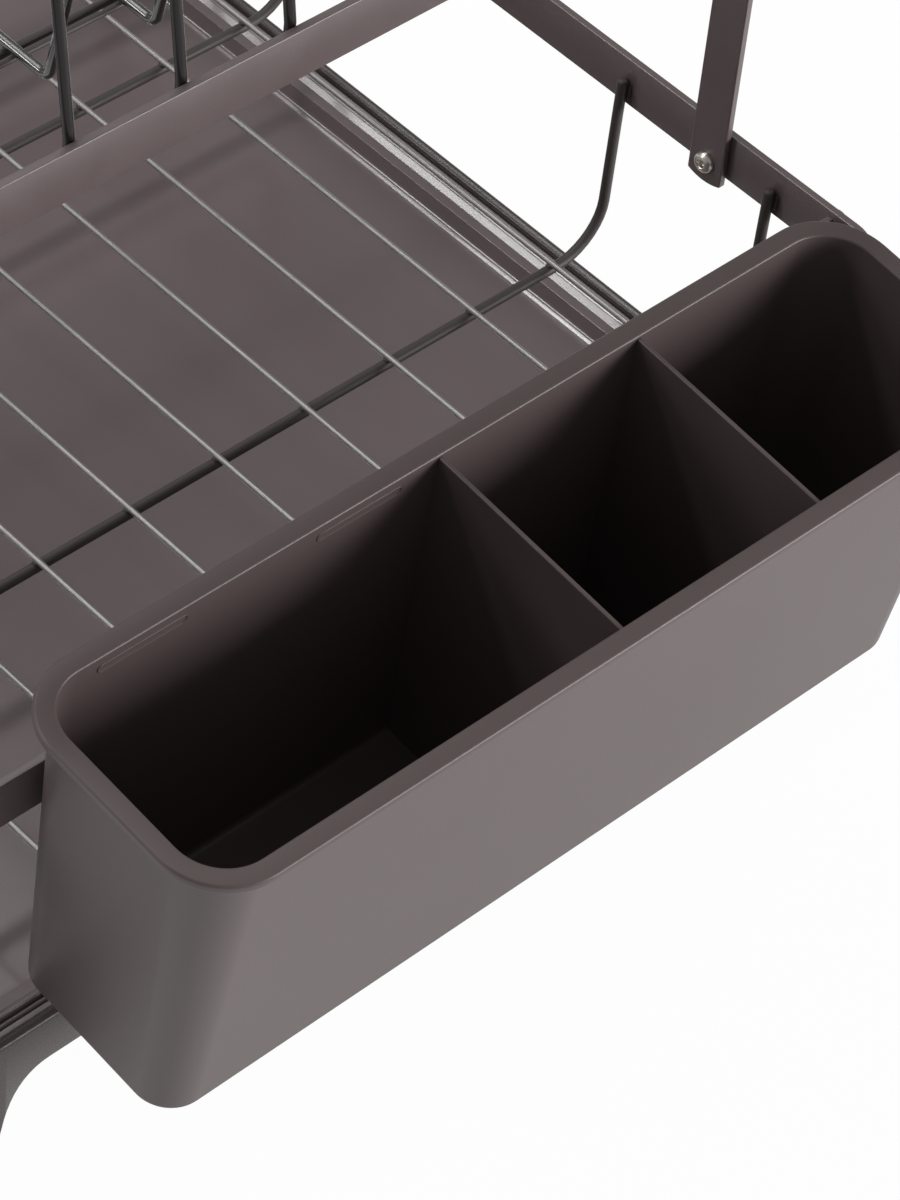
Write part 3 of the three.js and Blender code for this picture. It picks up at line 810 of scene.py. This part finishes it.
# corners are x, y and a radius, from the underside of the pan to its floor
tray_underside = [
    (-pan_inset, pan_z - tray_wall, 0), (-12.1 * MM, pan_z - tray_wall, 1.2 * MM),
    (-11.4 * MM, rim_z - tray_wall, 0.3 * MM), (rim_overhang, rim_z - tray_wall, 0.5 * MM),
]
tray_ridge = [
    (-4.2 * MM, rim_z, 0.2 * MM), (-4.8 * MM, ridge_z, 0.5 * MM),
    (-6.2 * MM, ridge_z, 1.6 * MM), (-8.45 * MM, rim_z, 0.3 * MM),
]
tray_pan = [
    (-12.6 * MM, rim_z - 0.2 * MM, 0.15 * MM), (-14.6 * MM, pan_z, 3.4 * MM), (-pan_inset, pan_z, 0),
]
tray_profile = rounded_profile(
    tray_underside + [(rim_overhang, rim_z, 0.5 * MM)] + mound(2.85 * MM, 1.0 * MM, 1.1 * MM, 6)
    + tray_ridge + tray_pan, steps=6)
bm = bmesh.new()
stations = ring_stations(tray_high.x, tray_low.y, tray_high.y, tray_corner, steps=12)
sweep_ring(bm, tray_profile, False, stations)
close_floor(bm)
finish_piece(bm, "tray_dish", tray_skin_painted_light, "tray", ["drip_tray"], sharp=50)
print("tray floor at", round(pan_z, 4))

# %% [markdown]
# ## The base
# The base is a skirt round the tray. Its lower edge rises in an arch between the four corner legs. The
# skirt is swept at full height first, and then its lowest points are lifted by the arch's own curve. The
# ring gets extra stations where the arch bends, so that the curve has points to stand on.

# %% The arch between the legs
base_low, base_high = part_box("base_stand")
base_middle = (base_low.y + base_high.y) / 2
base_half_depth = (base_high.y - base_low.y) / 2
base_corner = 26 * MM
apron_low = base_high.z - 22.2 * MM
leg_width = 36 * MM
leg_taper = 8 * MM
arch_radius = 24 * MM
arch_steps = 10
taper_below_counter = 10 * MM


def arch_points(half):
    """(distance from the middle, height) along the arch, from the counter to the flat apron."""
    foot = half - leg_width + leg_taper
    top = half - leg_width - leg_taper
    knee = top + leg_taper
    knee_z = apron_low - arch_radius
    foot_at_counter = knee + (foot - knee) * knee_z / (knee_z + taper_below_counter)
    start = Vector((knee, knee_z))
    bend = Vector((top + leg_taper / 2, apron_low))
    end = Vector((top - arch_radius / 2, apron_low))
    points = [(foot_at_counter, 0.0), (knee, knee_z)]
    for k in range(1, arch_steps + 1):
        t = k / arch_steps
        points.append(tuple(start * (1 - t) ** 2 + bend * 2 * t * (1 - t) + end * t * t))
    return points


def arch_height(distance, points):
    """The arch's height at a distance from the middle, read between its points."""
    for (x0, z0), (x1, z1) in zip(points, points[1:]):
        if x1 - 1e-7 <= distance <= x0 + 1e-7:
            return z0 + (z1 - z0) * (x0 - distance) / max(x0 - x1, 1e-9)
    return 0.0 if distance > points[0][0] else points[-1][1]


def both_ways(points):
    """Where the arch has points, on both sides of the middle."""
    distances = [distance for distance, height in points]
    return [-distance for distance in distances] + distances[::-1]


arch_x = arch_points(base_high.x)
arch_y = arch_points(base_half_depth)
print("arch springs", round(arch_x[0][0], 4), "and", round(arch_y[0][0], 4), "from the middle")

# %% [markdown]
# The skirt is one closed profile: a wall with a rounded lip on top. A vertex at its lower edge that
# stands between two legs is lifted onto the arch, and one that belongs to a leg stays on the counter.

# %% Skirt
lip = 4.55 * MM
stations = ring_stations(base_high.x, base_low.y, base_high.y, base_corner, steps=14,
                         extra_x=both_ways(arch_x), extra_y=both_ways(arch_y))
profile = rounded_profile([(0, 0, 0.8 * MM), (0, base_high.z, 2.1 * MM),
                           (-lip, base_high.z, 2.4 * MM), (-lip, 0, 0.8 * MM)])
bm = bmesh.new()
sweep_ring(bm, profile, True, stations)
for vert in bm.verts:
    across, deep = abs(vert.co.x), abs(vert.co.y - base_middle)
    if vert.co.z < 3 * MM:
        if across < arch_x[0][0] + 1e-6:
            vert.co.z += arch_height(across, arch_x)
        elif deep < arch_y[0][0] + 1e-6:
            vert.co.z += arch_height(deep, arch_y)
finish_piece(bm, "base_skirt", base_skin_painted_shade, "base", ["base_stand"])
print("base", [round(v, 4) for v in base_high - base_low])

# %% [markdown]
# Inside the skirt a ledge carries the tray, and a sole closes the foot of each leg. A sole is a square
# with its outer corner bevelled to the leg's own curve and pulled out into a plate.

# %% Ledge and soles
ledge_top = rim_z - tray_wall - 0.3 * MM
ledge_low = ledge_top - 3 * MM
ledge_outer = -lip + 0.4 * MM
ledge_inner = -10.2 * MM
profile = rounded_profile([(ledge_outer, ledge_low, 0), (ledge_outer, ledge_top, 0),
                           (ledge_inner, ledge_top, 0.5 * MM), (ledge_inner, ledge_low, 0.5 * MM)])
bm = bmesh.new()
sweep_ring(bm, profile, True, ring_stations(base_high.x, base_low.y, base_high.y, base_corner))
finish_piece(bm, "base_ledge", base_skin_painted_shade, "base", [])

sole_gap = 0.6 * MM
sole_inset = 2.5 * MM
sole_lift = 0.4 * MM
sole_thickness = 2.4 * MM
sole_corner = 22 * MM
low_x, high_x = arch_x[0][0] + sole_gap, base_high.x - sole_inset
low_y, high_y = arch_y[0][0] + sole_gap, base_half_depth - sole_inset
sole_size = Matrix.Diagonal(((high_x - low_x) / 2, (high_y - low_y) / 2, 1, 1))
bm = bmesh.new()
for sx in (-1, 1):
    for sy in (-1, 1):
        place = (sx * (low_x + high_x) / 2, base_middle + sy * (low_y + high_y) / 2, sole_lift)
        matrix = Matrix.Translation(place) @ sole_size
        grid = bmesh.ops.create_grid(bm, x_segments=1, y_segments=1, size=1, matrix=matrix)
        outer = [vert for vert in grid["verts"] if abs(vert.co.x) > high_x - 1e-6
                 and abs(vert.co.y - base_middle) > high_y - 1e-6]
        bmesh.ops.bevel(bm, geom=outer, offset=sole_corner, offset_type="OFFSET", segments=8, profile=0.5,
                        affect="VERTICES", material=-1)
pull_out(bm, (0, 0, sole_thickness))
finish_piece(bm, "base_soles", base_skin_painted_shade, "base", [])
print("ledge at", round(ledge_top, 4), "and soles", 4)

# %% [markdown]
# ## The utensil holder
# The holder is one moulding: walls that draw in towards the foot so that it leaves its mould, a rim that
# turns out over them, and two dividers. It is made upright round its own rim and then leaned by the same
# turn as the CAD solid, because it hangs a little nose-down on the front band.

# %% Holder shell
holder_length = 370.3 * MM
holder_depth = 101.1 * MM
holder_height = 142.5 * MM
holder_corner = 26 * MM
holder_shift = -3.55 * MM
holder_rise = 42.896 * MM
holder_reach = 1.487 * MM
holder_lean = math.radians(5.73)
holder_taper = 6.4 * MM
lip_width = 5.3 * MM
lip_drop = 3.6 * MM
rim_width = 7.4 * MM
floor_inset = 24 * MM
floor_depth = holder_height - 2.4 * MM
holder_place = Matrix.Translation((holder_shift, rack_front + holder_reach, lower_band_top + holder_rise))
holder_place = holder_place @ Matrix.Rotation(holder_lean, 4, "X")
holder_place = holder_place @ Matrix.Translation((0, -holder_depth / 2, 0))


def drawn_in(depth):
    """How far the walls have come in at a depth below the rim."""
    return holder_taper * depth / holder_height


def finish_holder(bm, name, nodes, sharp=35):
    bmesh.ops.transform(bm, matrix=holder_place, verts=bm.verts)
    return finish_piece(bm, name, holder_skin, "holder", nodes, sharp)


holder_profile = rounded_profile([
    (-floor_inset, -holder_height, 0),
    (-lip_width - holder_taper, -holder_height, 3 * MM),
    (-lip_width - drawn_in(lip_drop), -lip_drop, 0.5 * MM),
    (0, -lip_drop, 0.7 * MM),
    (0, 0, 1.1 * MM),
    (-rim_width, 0, 0.9 * MM),
    (-rim_width - drawn_in(floor_depth), -floor_depth, 2.5 * MM),
    (-floor_inset, -floor_depth, 0),
], steps=6)
bm = bmesh.new()
stations = ring_stations(holder_length / 2, -holder_depth / 2, holder_depth / 2, holder_corner, steps=18)
sweep_ring(bm, holder_profile, False, stations)
close_floor(bm)
finish_holder(bm, "holder_shell", ["utensil_holder"], sharp=40)
print("holder", round(holder_length, 4), "long and", round(holder_height, 4), "high")

# %% [markdown]
# The dividers are thin plates that reach from wall to wall and down to the floor. A cube is squeezed to
# size, its lower end is drawn in as the walls are, and a fine bevel rounds its edges.

# %% Holder dividers
divider_shares = (0.4815, 0.7265)
divider_half = 0.9 * MM
divider_top = -1.2 * MM
divider_reach = holder_depth / 2 - 7 * MM
for number, share in enumerate(divider_shares, 1):
    x = share * holder_length - holder_length / 2
    matrix = Matrix.Translation((x, 0, (divider_top - floor_depth) / 2))
    matrix = matrix @ Matrix.Diagonal((divider_half, divider_reach, (divider_top + floor_depth) / 2, 1))
    bm = bmesh.new()
    cube = bmesh.ops.create_cube(bm, size=2, matrix=matrix)
    for vert in cube["verts"]:
        if vert.co.z < -holder_height / 2:
            vert.co.y *= (divider_reach - holder_taper) / divider_reach
    add_bevel(finish_holder(bm, f"holder_divider_{number}", []), 0.45 * MM)
print("holder dividers", len(divider_shares))

# %% [markdown]
# Under the back of the rim the left compartment shows two long narrow slot marks. What catches the light
# is the raised edge round each mark, so that edge is drawn as a thin bead round a long loop.

# %% Slot edges
slot_half = 18.25 * MM
slot_height = 1.6 * MM
slot_level = -5.5 * MM
slot_centres = (-132.85 * MM, -41.85 * MM)
bead_radius = 0.35 * MM
bead_sides = 8
half_circle_steps = 6
wall_turn = math.atan(holder_taper / holder_height)
wall_y = holder_depth / 2 - rim_width + drawn_in(slot_level)
loop = []
# two half circles, a slot's length apart
for sign, first in ((1, -90), (-1, 90)):
    for k in range(half_circle_steps + 1):
        angle = math.radians(first + 180 * k / half_circle_steps)
        loop.append(Vector((sign * (slot_half - slot_height) + slot_height * math.cos(angle), 0,
                            slot_height * math.sin(angle))))
bm = bmesh.new()
for centre in slot_centres:
    on_wall = Matrix.Translation((centre, wall_y, slot_level)) @ Matrix.Rotation(-wall_turn, 4, "X")
    sweep_tube(bm, [on_wall @ point for point in loop + loop[:1]], bead_radius, bead_sides)
finish_holder(bm, "holder_slot_edges", [])
print("slot edges", len(slot_centres))

# %% [markdown]
# Four hooks on the back carry the holder. Each is a short bridge over the band with a lip behind it, and
# each sits in a gap between two wires. It is a strip swept along one bend, like a leg of the rack.

# %% Hooks
hook_centres = (-125.58 * MM, -41.86 * MM, 41.86 * MM, 125.58 * MM)
hook_half_width = 17 * MM
hook_half_thickness = 1.1 * MM
hook_bend = 1.6 * MM
hook_bend_steps = 5
hook_root = 0.5 * MM
hook_fall = 11 * MM
band_level = -holder_rise / math.cos(holder_lean)
channel_back = 3.3 * MM - holder_reach - holder_rise * math.tan(holder_lean)
wall_at_band = holder_depth / 2 - lip_width + drawn_in(band_level)
bridge_z = band_level + 0.6 * MM + hook_half_thickness
lip_y = holder_depth / 2 + channel_back + hook_half_thickness
for number, centre in enumerate(hook_centres, 1):
    x = centre - holder_shift
    corners = [Vector((x, wall_at_band - hook_root, bridge_z)), Vector((x, lip_y, bridge_z)),
               Vector((x, lip_y, band_level - hook_fall))]
    bm = bmesh.new()
    points = bent_path(corners, hook_bend, hook_bend_steps)
    sweep_strip(bm, points, hook_half_width, hook_half_thickness)
    add_bevel(finish_holder(bm, f"holder_hook_{number}", []), 0.5 * MM)
print("hooks", len(hook_centres))

# %% [markdown]
# ## Floor and light
# The picture is a product shot on white. The floor is white to the camera and partly so to reflections,
# and plain to all other light, so the white never floods the object. It lies just below the feet.

# %% Floor
white = (1, 1, 1, 1)
floor_half = 3
floor_drop = 0.5 * MM
floor_material = bpy.data.materials.new("white_floor")
graph = Graph(floor_material)
graph.surface({"Base Color": (0.8, 0.8, 0.8, 1.0), "Roughness": 0.9})
seen = graph.make("ShaderNodeLightPath", {}, output="Is Camera Ray")
mirrored = graph.make("ShaderNodeLightPath", {}, output="Is Glossy Ray") * 0.75
glow = graph.make("ShaderNodeEmission", {"Color": white})
plain = Field(graph, graph.shader.outputs[0])
blend = graph.make("ShaderNodeMixShader", {0: (seen + mirrored) * 0.975, 1: plain, 2: glow})
graph.feed(graph.tree.nodes["Material Output"].inputs[0], blend)
bm = bmesh.new()
bmesh.ops.create_grid(bm, x_segments=1, y_segments=1, size=floor_half,
                      matrix=Matrix.Translation((0, 0, -floor_drop)))
mesh = bpy.data.meshes.new("floor")
bm.to_mesh(mesh)
bm.free()
mesh.materials.append(floor_material)
ground = bpy.data.objects.new("floor", mesh)
bpy.context.collection.objects.link(ground)
print("floor", floor_half * 2, "square")

# %% [markdown]
# The world is the same idea: full white to the camera and through clear things, and a low, even fill
# for everything else.

# %% World
fill_strength = 0.3
studio = bpy.data.worlds.new("studio")
bpy.context.scene.world = studio
graph = Graph(studio, "Background")
seen = graph.make("ShaderNodeLightPath", {}, output="Is Camera Ray")
through = graph.make("ShaderNodeLightPath", {}, output="Is Transmission Ray")
strength = graph.make("ShaderNodeMix", {0: seen.join("MAXIMUM", seen, through), 2: fill_strength, 3: 1.0},
                      {"data_type": "FLOAT"})
graph.surface({"Color": white, "Strength": strength})
print("world fill", fill_strength)

# %% [markdown]
# Three soft lamps model the shape. A large key from the front right lights the holder's face, and a
# long strip high behind the rack lights both floors. A narrow panel at the back left stands just where
# the tray's ridge mirrors it, and gives the ridge its bright line.

# %% Lamps
aim = Vector((0, 0, 0.15))


def add_lamp(name, place, along, wide, high, power):
    """A softbox that faces the rack, with its wide way turned along a given direction."""
    away = (Vector(place) - aim).normalized()
    across = away.cross(Vector(along)).normalized()
    data = bpy.data.lights.new(name, "AREA")
    data.shape = "RECTANGLE"
    data.size = wide
    data.size_y = high
    data.energy = power
    lamp = bpy.data.objects.new(name, data)
    turn = Matrix((across.cross(away), across, away)).transposed().to_4x4()
    lamp.matrix_world = Matrix.Translation(place) @ turn
    bpy.context.collection.objects.link(lamp)
    print("lamp", name, power, "watts")


add_lamp("key_softbox", (1.55, -2.5, 0.55), along=(0.85, 0.53, 0), wide=1.4, high=1.0, power=80)
add_lamp("strip_light", (-0.2, 1.15, 2.3), along=(1, 0, 0.1), wide=2.0, high=0.4, power=34)
add_lamp("left_panel", (-1.69, 1.27, 1.25), along=(0.4, 0, 0.65), wide=0.27, high=0.8, power=11)
